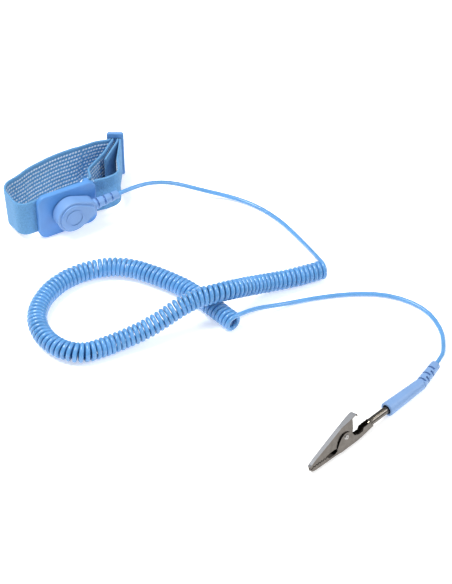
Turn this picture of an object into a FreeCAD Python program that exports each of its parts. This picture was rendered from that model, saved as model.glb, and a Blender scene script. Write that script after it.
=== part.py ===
import FreeCAD, Part
import math
import os

# Wrist strap with a snap-on head, a curly grounding cord and an alligator clip.
# Millimetres. +X runs along the snap plate, -Y is the plate's outward side, +Z is up.
# The origin is the bottom centre of the wristband's and snap head's box.

Vector = FreeCAD.Vector
UP = Vector(0, 0, 1)

# Wristband
BAND_MID_Z = 12.65
BAND_WIDTH = 20.5
BAND_THICK = 1.2
LONG_RUN_END = Vector(13.0, 20.3, 0)
OUTER_SPLIT = Vector(24.9, 3.4, 0)
RETURN_SPLIT = Vector(16.6, 7.4, 0)
SEWN_START = Vector(20.6, 9.9, 0)
STITCH_COUNT = 8
STITCH_RADIUS = 0.22
STITCH_MARGIN = 1.4
STITCH_OUTWARD = -2.4

# Snap stud's axis
STUD_X = -11.7
STUD_Z = 13.0

# Snap plate, a moulded plate that covers the band's fixed end
PLATE_LEFT = -27.4
PLATE_RIGHT = 4.5
PLATE_HEIGHT = 25.0
PLATE_MID_Z = 12.5
PLATE_FRONT_Y = -12.2
PLATE_THICK = 2.6
PLATE_CORNER = 4.6
PLATE_SOFT_EDGE = 0.9
BAR_X = 1.2
BAR_RADIUS = 0.8
BAR_TO_BAND = 0.1
LAYER_GAP = 0.1

# Steel plate against the skin
CONTACT_LEFT = -25.0
CONTACT_RIGHT = -1.6
CONTACT_HEIGHT = 18.4
CONTACT_THICK = 0.5
CONTACT_RIM = 0.5

# Snap stud, socket and ring spring on one axis along Y
STUD_FLANGE_RADIUS = 4.2
STUD_FLANGE_THICK = 0.4
STUD_NECK_RADIUS = 1.7
STUD_BALL_RADIUS = 2.1
STUD_BALL_Y = -15.0
RIVET_RADIUS = 1.2
RIVET_HEAD_RADIUS = 3.0
RIVET_HEAD_THICK = 0.5
RIVET_DEPTH_Y = -14.6
SOCKET_RADIUS = 5.0
SOCKET_BORE_RADIUS = 2.4
SOCKET_BACK_Y = -17.1
RING_WIRE_RADIUS = 0.3
RING_RADIUS = 2.15
RING_Y = -13.7
RING_GROOVE_RADIUS = 3.1

# Snap head, a round shell that tapers into a neck; its tail points up a little
HEAD_RADIUS = 8.5
HEAD_BACK_Y = -12.5
HEAD_SPLIT_Y = -19.5
HEAD_FRONT_Y = -20.4
HEAD_RING_Y = -20.7
HEAD_RING_RADIUS = 4.3
HEAD_MID_Y = -16.5
HEAD_TILT = 6.0
NECK_LENGTH = 12.3
NECK_HALF = 4.2
NECK_CHAMFER = 1.2
CAP_INSET = 1.3
RIM_ROUND = 0.6
RELIEF_END = 26.0
RELIEF_BASE_RADIUS = 2.9
RELIEF_TIP_RADIUS = 2.1
RELIEF_SLOT = 1.05
RELIEF_SLOT_STEP = 2.0
RESISTOR_START = 6.0
RESISTOR_LENGTH = 3.6
RESISTOR_RADIUS = 1.0
LEAD_RADIUS = 0.3
CRIMP_START = 10.4
CRIMP_LENGTH = 3.6
CRIMP_RADIUS = 0.8

# Slider buckle on the band
SLIDER_X = 31.3
SLIDER_Y = 18.3
SLIDER_TURN = -31.0
SLIDER_HALF = 4.3
SLIDER_HEIGHT = 25.8
SLIDER_THICK = 2.0
SLIDER_MID_Z = 12.9
SLIDER_BAR = 1.1
CENTRE_BAR_RADIUS = 0.55
SLOT_HEIGHT = BAND_WIDTH + 0.8
SEWN_BEND = CENTRE_BAR_RADIUS + 0.12 + BAND_THICK / 2
PASS_BEND = SEWN_BEND + BAND_THICK + 0.1

# Cord: a 2.2 mm wire with a curly middle, shown here by its outer shape
CORD_DIAMETER = 2.2
COIL_DIAMETER = 9.8
CORD_Z = CORD_DIAMETER / 2
COIL_Z = COIL_DIAMETER / 2
COIL_OVER_Z = COIL_Z + COIL_DIAMETER + 3.0
TURN_TOP_Z = COIL_DIAMETER - CORD_Z
ARC_SHARE = 0.45

# Banana plug, boot and alligator clip, laid out along the plug's axis from the clip's tip
CLIP_TURN = 14.5
CLIP_LEAN = 15.0
BOOT_MOUTH_X = 49.4
BOOT_MOUTH_Y = -202.1
PLUG_Z = 3.5
MOUTH_AT = 50.0
BOOT_LENGTH = 23.0
BOOT_RELIEF_LENGTH = 15.0
BOOT_RELIEF_TURN = 13.5
BOOT_MOUTH_RADIUS = 3.4
BOOT_NECK_RADIUS = 2.75
BOOT_TIP_RADIUS = 2.35
BOOT_SLOT = 1.1
BOOT_SLOT_STEP = 2.3
BOOT_BORE_RADIUS = 2.3
BOOT_BORE_DEPTH = 4.0
JAW_TO_AXIS = 2.6
BARREL_START = 38.2
BARREL_END = 53.0
BARREL_RADIUS = 1.75
BARREL_BORE = 1.4
PIN_TIP_AT = 37.6
PIN_END_AT = 59.2
PIN_RADIUS = 0.9
PIN_COLLAR_RADIUS = 1.18
CAGE_START = 40.0
CAGE_END = 49.6
CAGE_RADIUS = 1.34
CAGE_THICK = 0.14
SHEET = 0.4
RIVET_AT = 22.3
RIVET_Z = 5.5
CLIP_RIVET_RADIUS = 0.75
TOOTH_START = 0.9
TOOTH_PITCH = 1.6
TOOTH_COUNT = 6
TOOTH_HEIGHT = 0.7
TOOTH_LOW_Z = 1.5
JAW_GAP = 0.45
EAR_HALF = 1.95
LOWER_HALF_WIDTHS = [(0.2, 0.95), (15.2, 1.5), (18.0, EAR_HALF), (27.8, EAR_HALF), (32.2, 1.7), (39.2, 1.6)]
UPPER_HALF_WIDTHS = [(0.2, 0.95), (15.2, 1.22), (28.8, 1.22)]
THUMB_HALF_WIDTHS = [(21.7, 1.22), (24.8, 1.6), (29.2, 1.8), (31.4, 1.35)]
EAR_OUTLINE = [(11.0, 0.95), (14.6, 0.95), (16.2, 1.9), (16.7, 3.3), (17.9, 5.1), (19.5, 6.5), (21.4, 7.3),
               (23.2, 7.3), (24.9, 6.5), (26.1, 5.2), (27.0, 3.2)]
THUMB_TOP = [(31.4, 11.0), (31.3, 12.0), (30.5, 12.6), (29.2, 12.4), (20.8, 10.5)]
THUMB_UNDER = [(20.8, 10.05), (29.2, 11.95), (30.3, 12.1), (30.8, 11.6), (30.9, 10.9)]


def save(shape, node):
    shape.exportStep(os.path.join("parts", node + ".step"))
    print(node, "volume", round(shape.Volume, 1), "valid", shape.isValid())
    return shape


# ---- paths of straight runs joined by tangent arcs ----

def corner_arc(before, corner, after, radius):
    """The arc that rounds one corner: its start, middle, end and its radius."""
    to_corner = (corner - before).normalize()
    from_corner = (after - corner).normalize()
    turn = to_corner.getAngle(from_corner)
    half = math.tan(turn / 2)
    if radius is None:
        shorter = min((corner - before).Length, (after - corner).Length)
        radius = ARC_SHARE * shorter / half
    reach = radius * half
    start = corner - to_corner * reach
    end = corner + from_corner * reach
    inward = (from_corner - to_corner).normalize()
    centre = corner + inward * (radius / math.cos(turn / 2))
    middle = centre - inward * radius
    return start, middle, end, radius


def rounded_path(points, radii=None):
    """Edges through the points with every inner corner rounded, and the radii used."""
    edges = []
    used = []
    at = points[0]
    for i in range(1, len(points) - 1):
        wanted = radii[i] if radii else None
        start, middle, end, radius = corner_arc(points[i - 1], points[i], points[i + 1], wanted)
        if (start - at).Length > 1e-4:
            edges.append(Part.LineSegment(at, start).toShape())
        edges.append(Part.Arc(start, middle, end).toShape())
        used.append(radius)
        at = end
    edges.append(Part.LineSegment(at, points[-1]).toShape())
    return edges, used


def tube(points, diameter):
    """A round tube along the rounded path, with its volume checked against its length."""
    edges, radii = rounded_path(points)
    spine = Part.Wire(edges)
    first = (points[1] - points[0]).normalize()
    section = Part.Wire([Part.makeCircle(diameter / 2, points[0], first)])
    solid = spine.makePipeShell([section], True, False)
    expected = math.pi * diameter ** 2 / 4 * spine.Length
    print("tube length", round(spine.Length, 1), "volume ratio", round(solid.Volume / expected, 4),
          "radii", [round(radius, 1) for radius in radii])
    return solid


def sideways(edge, at, distance):
    """The point of a plan edge moved sideways, to the left of its direction."""
    point = edge.valueAt(at)
    along = edge.tangentAt(at)
    if edge.Orientation == "Reversed":
        along = along * -1
    return point + Vector(-along.y, along.x, 0) * distance


def strip(points, radii, thickness, low, high):
    """A band of constant thickness that stands on edge along a plan path."""
    centre_edges, _ = rounded_path(points, radii)
    sides = {}
    for side in (1, -1):
        moved = []
        for edge in centre_edges:
            first, last = edge.ParameterRange
            ends = [sideways(edge, first, side * thickness / 2), sideways(edge, last, side * thickness / 2)]
            if edge.Curve.TypeId == "Part::GeomLine":
                moved.append(Part.LineSegment(ends[0], ends[1]).toShape())
            else:
                middle = sideways(edge, (first + last) / 2, side * thickness / 2)
                moved.append(Part.Arc(ends[0], middle, ends[1]).toShape())
        sides[side] = moved
    left_ends = [sides[1][0].valueAt(sides[1][0].FirstParameter),
                 sides[1][-1].valueAt(sides[1][-1].LastParameter)]
    right_ends = [sides[-1][0].valueAt(sides[-1][0].FirstParameter),
                  sides[-1][-1].valueAt(sides[-1][-1].LastParameter)]
    caps = [Part.LineSegment(left_ends[0], right_ends[0]).toShape(),
            Part.LineSegment(left_ends[1], right_ends[1]).toShape()]
    outline = Part.Wire(Part.__sortEdges__(sides[1] + sides[-1] + caps))
    face = Part.Face(outline)
    face.translate(Vector(0, 0, low))
    return face.extrude(UP * (high - low))


def polygon_prism(points, direction):
    wire = Part.makePolygon(points + [points[0]])
    return Part.Face(wire).extrude(direction)


def y_cylinder(radius, x, z, back_y, front_y):
    return Part.makeCylinder(radius, back_y - front_y, Vector(x, front_y, z), Vector(0, 1, 0))


def edges_at(shape, picks):
    return [edge for edge in shape.Edges if picks(edge.BoundBox)]


# ---- wristband: one strip of webbing, in four pieces that meet end to end ----

BAND_LOW = BAND_MID_Z - BAND_WIDTH / 2
BAND_HIGH = BAND_MID_Z + BAND_WIDTH / 2
PLATE_BACK_Y = PLATE_FRONT_Y + PLATE_THICK
FIXED_Y = PLATE_BACK_Y + LAYER_GAP + BAND_THICK / 2
FOLD_BEND = BAR_RADIUS + BAR_TO_BAND + BAND_THICK / 2
BAR_Y = FIXED_Y + FOLD_BEND
RETURN_Y = BAR_Y + FOLD_BEND


def slider_point(along, outward):
    """A plan point in the slider's own directions: along the band, and outward from the wrist."""
    turn = math.radians(SLIDER_TURN)
    return Vector(SLIDER_X + along * math.cos(turn) - outward * math.sin(turn),
                  SLIDER_Y + along * math.sin(turn) + outward * math.cos(turn), 0)


def band_piece(points, radii):
    return strip(points, radii, BAND_THICK, BAND_LOW, BAND_HIGH)


def make_band_long_run():
    points = [Vector(-2.4, FIXED_Y, 0), Vector(-26.0, FIXED_Y, 0), Vector(-35.3, -8.1, 0),
              Vector(-35.5, 9.0, 0), Vector(-18.5, 16.6, 0), Vector(-3.5, 19.9, 0),
              Vector(8.0, 20.3, 0), LONG_RUN_END]
    band = band_piece(points, [None, 30.0, 4.6, 8.0, 30.0, 60.0, None, None])
    return band.cut(y_cylinder(RIVET_RADIUS + 0.1, STUD_X, STUD_Z, 0, -12))


def make_band_slider_pass():
    inside = -(SLIDER_THICK / 2 + 0.12 + BAND_THICK / 2)
    points = [LONG_RUN_END, Vector(21.0, 20.4, 0), slider_point(-PASS_BEND, inside),
              slider_point(-PASS_BEND, PASS_BEND), slider_point(PASS_BEND, PASS_BEND),
              slider_point(PASS_BEND, -5.5), OUTER_SPLIT]
    return band_piece(points, [None, 14.0, 0.9, PASS_BEND, PASS_BEND, None, None])


def make_band_plate_fold():
    slope = (slider_point(PASS_BEND, -5.5) - OUTER_SPLIT).normalize()
    below = OUTER_SPLIT - slope * 2.0
    after = RETURN_SPLIT - (SEWN_START - RETURN_SPLIT).normalize() * 2.6
    points = [OUTER_SPLIT, below, Vector(19.0, -9.6, 0), Vector(10.5, -9.9, 0), Vector(5.0, FIXED_Y, 0),
              Vector(BAR_X - FOLD_BEND, FIXED_Y, 0), Vector(BAR_X - FOLD_BEND, RETURN_Y, 0),
              Vector(4.9, RETURN_Y, 0), Vector(7.0, 1.2, 0), after, RETURN_SPLIT]
    return band_piece(points, [None, 12.0, 7.0, 10.0, 6.0, FOLD_BEND, FOLD_BEND, 1.8, 4.0, 6.0, None])


def stitch_rods(radius):
    """One rod for each stitch of the seam through both layers of the sewn end."""
    rods = []
    for i in range(STITCH_COUNT):
        z = BAND_LOW + STITCH_MARGIN + i * (BAND_WIDTH - 2 * STITCH_MARGIN) / (STITCH_COUNT - 1)
        inner = slider_point(-SEWN_BEND - BAND_THICK / 2 - 0.75, STITCH_OUTWARD) + UP * z
        outer = slider_point(SEWN_BEND + BAND_THICK / 2 + 0.05, STITCH_OUTWARD) + UP * z
        rods.append(Part.makeCylinder(radius, (outer - inner).Length, inner, outer - inner))
    return rods


def make_band_sewn_end():
    points = [RETURN_SPLIT, SEWN_START, slider_point(-SEWN_BEND - 1.2, -4.6),
              slider_point(-SEWN_BEND, -1.9), slider_point(-SEWN_BEND, SEWN_BEND),
              slider_point(SEWN_BEND, SEWN_BEND), slider_point(SEWN_BEND, -2.6), Vector(24.4, 9.6, 0),
              Vector(18.0, 4.0, 0)]
    band = band_piece(points, [None, 12.0, None, None, SEWN_BEND, SEWN_BEND, 8.0, 20.0, None])
    return band.cut(stitch_rods(STITCH_RADIUS + 0.02))


def make_end_stitching():
    return Part.Compound(stitch_rods(STITCH_RADIUS))


# ---- snap plate and what is riveted to it ----

def rounded_plate(left, right, height, mid_z, back_y, front_y, corner):
    block = Part.makeBox(right - left, back_y - front_y, height, Vector(left, front_y, mid_z - height / 2))
    upright = edges_at(block, lambda box: box.YLength > (back_y - front_y) * 0.9)
    return block.makeFillet(corner, upright)


def make_snap_plate():
    """A moulded cover with a bar behind its right end, which the band folds around."""
    plate = rounded_plate(PLATE_LEFT, PLATE_RIGHT, PLATE_HEIGHT, PLATE_MID_Z,
                          PLATE_BACK_Y, PLATE_FRONT_Y, PLATE_CORNER)
    front = edges_at(plate, lambda box: box.YMax < PLATE_FRONT_Y + 0.01)
    plate = plate.makeFillet(PLATE_SOFT_EDGE, front)
    reach_y = BAR_Y + BAR_RADIUS
    lugs = rounded_plate(PLATE_LEFT, PLATE_RIGHT, PLATE_HEIGHT, PLATE_MID_Z,
                         reach_y, PLATE_BACK_Y - 0.5, PLATE_CORNER)
    lugs = lugs.common(Part.makeBox(2.2, 20, BAND_WIDTH + 2.2, Vector(BAR_X - 1.1, -15, BAND_LOW - 1.1)))
    lugs = lugs.cut(Part.makeBox(4, 10, BAND_WIDTH + 0.2, Vector(BAR_X - 2, PLATE_BACK_Y, BAND_LOW - 0.1)))
    bar = Part.makeCylinder(BAR_RADIUS, BAND_WIDTH + 2.0, Vector(BAR_X, BAR_Y, BAND_LOW - 1.0), UP)
    plate = plate.fuse([lugs, bar]).removeSplitter()
    recess = y_cylinder(STUD_FLANGE_RADIUS + 0.05, STUD_X, STUD_Z, PLATE_FRONT_Y + STUD_FLANGE_THICK,
                        PLATE_FRONT_Y - 1)
    shank_hole = y_cylinder(RIVET_RADIUS + 0.05, STUD_X, STUD_Z, 0, PLATE_FRONT_Y - 1)
    return plate.cut(recess).cut(shank_hole)


CONTACT_FRONT_Y = FIXED_Y + BAND_THICK / 2 + LAYER_GAP
CONTACT_BACK_Y = CONTACT_FRONT_Y + CONTACT_THICK


def make_contact_plate():
    """A thin steel plate with a low rim, which touches the skin."""
    plate = rounded_plate(CONTACT_LEFT, CONTACT_RIGHT, CONTACT_HEIGHT, BAND_MID_Z,
                          CONTACT_BACK_Y + CONTACT_RIM, CONTACT_FRONT_Y, 3.0)
    dish = rounded_plate(CONTACT_LEFT + 1.2, CONTACT_RIGHT - 1.2, CONTACT_HEIGHT - 2.4, BAND_MID_Z,
                         CONTACT_BACK_Y + 3, CONTACT_BACK_Y, 2.2)
    return plate.cut(dish).cut(y_cylinder(RIVET_RADIUS + 0.05, STUD_X, STUD_Z, 0, -12))


def make_snap_stud():
    """The male snap: a flange let into the plate, a neck and a round head, drilled for the rivet."""
    flange = y_cylinder(STUD_FLANGE_RADIUS, STUD_X, STUD_Z, PLATE_FRONT_Y + STUD_FLANGE_THICK, PLATE_FRONT_Y)
    neck = y_cylinder(STUD_NECK_RADIUS, STUD_X, STUD_Z, PLATE_FRONT_Y + 0.1, STUD_BALL_Y)
    ball = Part.makeSphere(STUD_BALL_RADIUS, Vector(STUD_X, STUD_BALL_Y, STUD_Z))
    hole = y_cylinder(RIVET_RADIUS + 0.02, STUD_X, STUD_Z, 0, RIVET_DEPTH_Y)
    return flange.fuse([neck, ball]).removeSplitter().cut(hole)


def make_stud_rivet():
    head = y_cylinder(RIVET_HEAD_RADIUS, STUD_X, STUD_Z, CONTACT_BACK_Y + RIVET_HEAD_THICK, CONTACT_BACK_Y)
    rim = edges_at(head, lambda box: box.YMin > CONTACT_BACK_Y + 0.3)
    head = head.makeFillet(0.3, rim)
    shank = y_cylinder(RIVET_RADIUS, STUD_X, STUD_Z, CONTACT_BACK_Y + 0.1, RIVET_DEPTH_Y)
    return head.fuse(shank).removeSplitter()


# ---- slider ----

def make_slider_buckle():
    """A rectangular frame with a round bar down its middle."""
    block = Part.makeBox(SLIDER_HALF * 2, SLIDER_THICK, SLIDER_HEIGHT,
                         Vector(-SLIDER_HALF, -SLIDER_THICK / 2, -SLIDER_HEIGHT / 2))
    corners = edges_at(block, lambda box: box.YLength > SLIDER_THICK * 0.9)
    block = block.makeFillet(1.2, corners)
    rims = edges_at(block, lambda box: box.YLength < 0.01)
    block = block.makeFillet(0.45, rims)
    slot_low = BAND_MID_Z - SLIDER_MID_Z - SLOT_HEIGHT / 2
    window = Part.makeBox(SLIDER_HALF * 2 - SLIDER_BAR * 2, 10, SLOT_HEIGHT,
                          Vector(-SLIDER_HALF + SLIDER_BAR, -5, slot_low))
    bar = Part.makeCylinder(CENTRE_BAR_RADIUS, SLOT_HEIGHT + 1, Vector(0, 0, slot_low - 0.5), UP)
    buckle = block.cut(window).fuse(bar).removeSplitter()
    buckle.rotate(Vector(0, 0, 0), UP, SLIDER_TURN)
    buckle.translate(Vector(SLIDER_X, SLIDER_Y, SLIDER_MID_Z))
    return buckle


# ---- snap head and what is inside it ----

def head_point(along, outward_y, across):
    """A point in the head's own directions: along its tail, the world's Y, and across the tail."""
    tilt = math.radians(HEAD_TILT)
    return Vector(STUD_X + along * math.cos(tilt) - across * math.sin(tilt), outward_y,
                  STUD_Z + along * math.sin(tilt) + across * math.cos(tilt))


def pear(inset, back_y, front_y):
    """The head's outline, a circle that runs into a chamfered neck, as a plate of some thickness."""
    radius = HEAD_RADIUS - inset
    tip = NECK_LENGTH - inset
    half = NECK_HALF - inset
    shoulder = tip - NECK_CHAMFER
    bearing = math.atan2(half, shoulder) + math.acos(radius / math.hypot(half, shoulder))
    touch = [radius * math.cos(bearing), radius * math.sin(bearing)]
    upper = head_point(touch[0], front_y, touch[1])
    lower = head_point(touch[0], front_y, -touch[1])
    corners = [lower, head_point(shoulder, front_y, -half), head_point(tip, front_y, -half + NECK_CHAMFER),
               head_point(tip, front_y, half - NECK_CHAMFER), head_point(shoulder, front_y, half), upper]
    edges = [Part.LineSegment(a, b).toShape() for a, b in zip(corners, corners[1:])]
    edges.append(Part.Arc(upper, head_point(-radius, front_y, 0), lower).toShape())
    return Part.Face(Part.Wire(edges)).extrude(Vector(0, back_y - front_y, 0))


def along_tail(radius, start, length, tip_radius=None):
    """A rod or a cone on the tail's axis."""
    base = head_point(start, HEAD_MID_Y, 0)
    direction = head_point(start + 1, HEAD_MID_Y, 0) - base
    if tip_radius is None:
        return Part.makeCylinder(radius, length, base, direction)
    return Part.makeCone(radius, tip_radius, length, base, direction)


def make_snap_head_body():
    body = pear(0, HEAD_BACK_Y, HEAD_SPLIT_Y)
    back = edges_at(body, lambda box: box.YMin > HEAD_BACK_Y - 0.01)
    body = body.makeFillet(0.7, back)
    front = edges_at(body, lambda box: box.YMax < HEAD_SPLIT_Y + 0.01)
    body = body.makeFillet(RIM_ROUND, front)
    pocket = y_cylinder(SOCKET_RADIUS + 0.05, STUD_X, STUD_Z, HEAD_BACK_Y + 1, SOCKET_BACK_Y)
    channel = along_tail(CRIMP_RADIUS + 0.5, 3.0, NECK_LENGTH)
    return body.cut(pocket).cut(channel)


def make_snap_head_cap():
    """The front cover: a soft-edged face with a raised ring around its middle."""
    cap = pear(CAP_INSET, HEAD_SPLIT_Y, HEAD_FRONT_Y)
    front = edges_at(cap, lambda box: box.YMax < HEAD_FRONT_Y + 0.01)
    cap = cap.makeFillet(0.5, front)
    ring = y_cylinder(HEAD_RING_RADIUS + 0.35, STUD_X, STUD_Z, HEAD_FRONT_Y + 0.1, HEAD_RING_Y)
    ring = ring.cut(y_cylinder(HEAD_RING_RADIUS - 0.35, STUD_X, STUD_Z, HEAD_FRONT_Y + 1, HEAD_RING_Y - 1))
    return cap.fuse(ring).removeSplitter()


def make_snap_socket():
    """The female snap: a metal cup with a groove for its ring spring."""
    cup = y_cylinder(SOCKET_RADIUS, STUD_X, STUD_Z, HEAD_BACK_Y, SOCKET_BACK_Y)
    bore = y_cylinder(SOCKET_BORE_RADIUS, STUD_X, STUD_Z, HEAD_BACK_Y + 1, SOCKET_BACK_Y - 1)
    groove = y_cylinder(RING_GROOVE_RADIUS, STUD_X, STUD_Z, RING_Y + 0.5, RING_Y - 0.5)
    return cup.cut(bore.fuse(groove))


def make_socket_ring_spring():
    return Part.makeTorus(RING_RADIUS, RING_WIRE_RADIUS, Vector(STUD_X, RING_Y, STUD_Z), Vector(0, 1, 0))


def make_safety_resistor():
    rod = along_tail(RESISTOR_RADIUS, RESISTOR_START, RESISTOR_LENGTH)
    ends = edges_at(rod, lambda box: box.YLength > RESISTOR_RADIUS * 1.8 and box.XLength < 1)
    return rod.makeFillet(0.4, ends)


def make_resistor_leads():
    inner = along_tail(LEAD_RADIUS, SOCKET_RADIUS, RESISTOR_START - SOCKET_RADIUS)
    end = RESISTOR_START + RESISTOR_LENGTH
    outer = along_tail(LEAD_RADIUS, end, CRIMP_START - end)
    return Part.Compound([inner, outer])


def make_wire_crimp():
    return along_tail(CRIMP_RADIUS, CRIMP_START, CRIMP_LENGTH)


def make_head_strain_relief():
    """A tapered sleeve with staggered slots, so that it bends with the cord."""
    sleeve = along_tail(RELIEF_BASE_RADIUS, NECK_LENGTH, RELIEF_END - NECK_LENGTH, RELIEF_TIP_RADIUS)
    crimp_end = CRIMP_START + CRIMP_LENGTH
    sleeve = sleeve.cut(along_tail(CRIMP_RADIUS + 0.1, NECK_LENGTH - 1, crimp_end - NECK_LENGTH + 1))
    slots = []
    for i in range(6):
        at = NECK_LENGTH + 1.3 + i * RELIEF_SLOT_STEP
        side = -1 if i % 2 else 1
        block = Part.makeBox(RELIEF_SLOT, 8, 4, Vector(at, HEAD_MID_Y - 4, 0.2))
        block.rotate(Vector(at, HEAD_MID_Y, 0), Vector(1, 0, 0), 20 if side > 0 else 200)
        block.rotate(Vector(0, HEAD_MID_Y, 0), Vector(0, 1, 0), -HEAD_TILT)
        block.translate(Vector(STUD_X, 0, STUD_Z))
        slots.append(block)
    core = along_tail(CORD_DIAMETER / 2, crimp_end, RELIEF_END - crimp_end)
    return sleeve.cut(slots).fuse(core).removeSplitter()


# ---- cord ----

def clip_point(along, across, z):
    """A point in the clip's own directions: along the plug's axis, across it, and up."""
    turn = math.radians(CLIP_TURN)
    tip_x = BOOT_MOUTH_X - MOUTH_AT * math.cos(turn)
    tip_y = BOOT_MOUTH_Y - MOUTH_AT * math.sin(turn)
    return Vector(tip_x + along * math.cos(turn) - across * math.sin(turn),
                  tip_y + along * math.sin(turn) + across * math.cos(turn), z)


def boot_relief_point(along):
    """A point on the axis of the boot's slotted end, which bends away from the plug's axis."""
    turn = math.radians(CLIP_TURN + BOOT_RELIEF_TURN)
    return clip_point(MOUTH_AT + BOOT_LENGTH, 0, PLUG_Z) + Vector(math.cos(turn), math.sin(turn), 0) * along


def strap_lead_route():
    return [head_point(RELIEF_END, HEAD_MID_Y, 0), head_point(RELIEF_END + 6.5, HEAD_MID_Y, 0),
            Vector(32.2, -15.8, 15.6), Vector(45.8, -15.8, 10.6), Vector(59.3, -22.2, 4.6),
            Vector(71.8, -31.7, 1.6), Vector(79.3, -44.7, CORD_Z), Vector(82.9, -61.2, CORD_Z),
            Vector(82.7, -78.2, 1.6), Vector(79.4, -94.4, 6.2), Vector(76.8, -105.6, TURN_TOP_Z)]


def coil_route():
    return [Vector(77.1, -107.2, COIL_Z), Vector(62.3, -105.8, COIL_Z), Vector(41.3, -104.4, 9.5),
            Vector(23.8, -108.2, COIL_OVER_Z), Vector(5.8, -105.0, COIL_OVER_Z), Vector(-15.7, -105.6, 8.5),
            Vector(-34.7, -103.8, COIL_Z), Vector(-52.3, -102.8, COIL_Z), Vector(-60.9, -86.8, COIL_Z),
            Vector(-57.5, -67.2, COIL_Z), Vector(-42.3, -53.4, COIL_Z), Vector(-23.7, -49.4, COIL_Z),
            Vector(-4.9, -54.7, COIL_Z), Vector(6.8, -71.6, COIL_Z), Vector(16.1, -92.2, COIL_Z),
            Vector(20.5, -119.4, COIL_Z)]


def clip_lead_route():
    last = boot_relief_point(BOOT_RELIEF_LENGTH)
    before = boot_relief_point(BOOT_RELIEF_LENGTH + 7.0)
    return [Vector(22.5, -118.6, TURN_TOP_Z), Vector(33.0, -116.6, 6.2), Vector(48.8, -116.1, 1.5),
            Vector(65.3, -119.5, CORD_Z), Vector(82.8, -126.0, CORD_Z), Vector(97.8, -136.0, CORD_Z),
            Vector(106.3, -152.7, CORD_Z), Vector(103.5, -169.7, CORD_Z), Vector(95.8, -181.0, 2.0),
            before, last]


# ---- banana plug ----

def clip_axis_rod(radius, start, end, tip_radius=None):
    base = clip_point(start, 0, PLUG_Z)
    direction = clip_point(start + 1, 0, PLUG_Z) - base
    if tip_radius is None:
        return Part.makeCylinder(radius, end - start, base, direction)
    return Part.makeCone(radius, tip_radius, end - start, base, direction)


def make_plug_boot():
    """The moulded handle: a tapered body with a slotted, slightly bent end."""
    body = clip_axis_rod(BOOT_MOUTH_RADIUS, MOUTH_AT, MOUTH_AT + BOOT_LENGTH + 0.2, BOOT_NECK_RADIUS)
    body = body.makeFillet(0.5, edges_at(body, lambda box: box.ZLength > BOOT_MOUTH_RADIUS * 1.99))
    start = boot_relief_point(0)
    end = boot_relief_point(BOOT_RELIEF_LENGTH)
    relief = Part.makeCone(BOOT_NECK_RADIUS - 0.05, BOOT_TIP_RADIUS, BOOT_RELIEF_LENGTH, start, end - start)
    slots = []
    for i in range(5):
        side = 1 if i % 2 else -1
        block = Part.makeBox(BOOT_SLOT, 4, 8, Vector(0.8 + i * BOOT_SLOT_STEP, 0.1, -4))
        block.rotate(Vector(0, 0, 0), Vector(1, 0, 0), 50 if side < 0 else 200)
        block.rotate(Vector(0, 0, 0), UP, CLIP_TURN + BOOT_RELIEF_TURN)
        block.translate(start)
        slots.append(block)
    core = Part.makeCylinder(CORD_DIAMETER / 2, BOOT_RELIEF_LENGTH, start, end - start)
    relief = relief.cut(slots).fuse(core)
    mouth = clip_axis_rod(BOOT_BORE_RADIUS, MOUTH_AT - 1, MOUTH_AT + BOOT_BORE_DEPTH)
    pin_seat = clip_axis_rod(PIN_RADIUS, MOUTH_AT - 1, PIN_END_AT)
    return body.fuse(relief).removeSplitter().cut(mouth).cut(pin_seat)


def make_banana_pin():
    core = clip_axis_rod(PIN_RADIUS, CAGE_START - 1, PIN_END_AT)
    nose = clip_axis_rod(PIN_COLLAR_RADIUS - 0.7, PIN_TIP_AT, PIN_TIP_AT + 1.0, PIN_COLLAR_RADIUS)
    nose_collar = clip_axis_rod(PIN_COLLAR_RADIUS, PIN_TIP_AT + 1.0, CAGE_START - 0.3)
    back_collar = clip_axis_rod(PIN_COLLAR_RADIUS, CAGE_END + 0.3, BARREL_END + 0.6)
    return core.fuse([nose, nose_collar, back_collar]).removeSplitter()


def make_banana_spring():
    """A slotted sleeve whose leaves bulge outward and grip the clip's barrel."""
    slim = CAGE_RADIUS - 0.22
    third = (CAGE_END - CAGE_START) / 3
    outside = [clip_axis_rod(slim, CAGE_START, CAGE_START + third, CAGE_RADIUS),
               clip_axis_rod(CAGE_RADIUS, CAGE_START + third, CAGE_END - third),
               clip_axis_rod(CAGE_RADIUS, CAGE_END - third, CAGE_END, slim)]
    sleeve = outside[0].fuse(outside[1:]).removeSplitter()
    sleeve = sleeve.cut(clip_axis_rod(slim - CAGE_THICK, CAGE_START - 1, CAGE_END + 1))
    base = clip_point(0, 0, PLUG_Z)
    for turn in (0, 45, 90, 135):
        slot = Part.makeBox(CAGE_END - CAGE_START - 2.4, 6, 0.35, Vector(CAGE_START + 1.2, -3, -0.175))
        slot.rotate(Vector(0, 0, 0), Vector(1, 0, 0), turn)
        slot.rotate(Vector(0, 0, 0), UP, CLIP_TURN)
        slot.translate(base)
        sleeve = sleeve.cut(slot)
    return sleeve


# ---- alligator clip, made in its own directions and then placed ----

def place_clip(shape):
    """Lifts the clip onto the plug's axis, leans it about that axis and turns it into place."""
    shape.translate(Vector(0, 0, PLUG_Z - JAW_TO_AXIS))
    shape.rotate(Vector(0, 0, PLUG_Z), Vector(1, 0, 0), -CLIP_LEAN)
    shape.rotate(Vector(0, 0, 0), UP, CLIP_TURN)
    shape.translate(clip_point(0, 0, 0))
    return shape


def side_prism(profile):
    """A slab across the clip from a side outline of (along, up) points."""
    return polygon_prism([Vector(along, -10, z) for along, z in profile], Vector(0, 20, 0))


def plan_prism(half_widths, inset):
    """An upright block from (along, half width) stations, narrowed by inset on each side."""
    left = [Vector(along, half - inset, -5) for along, half in half_widths]
    right = [Vector(along, inset - half, -5) for along, half in reversed(half_widths)]
    return polygon_prism(left + right, UP * 30)


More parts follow.
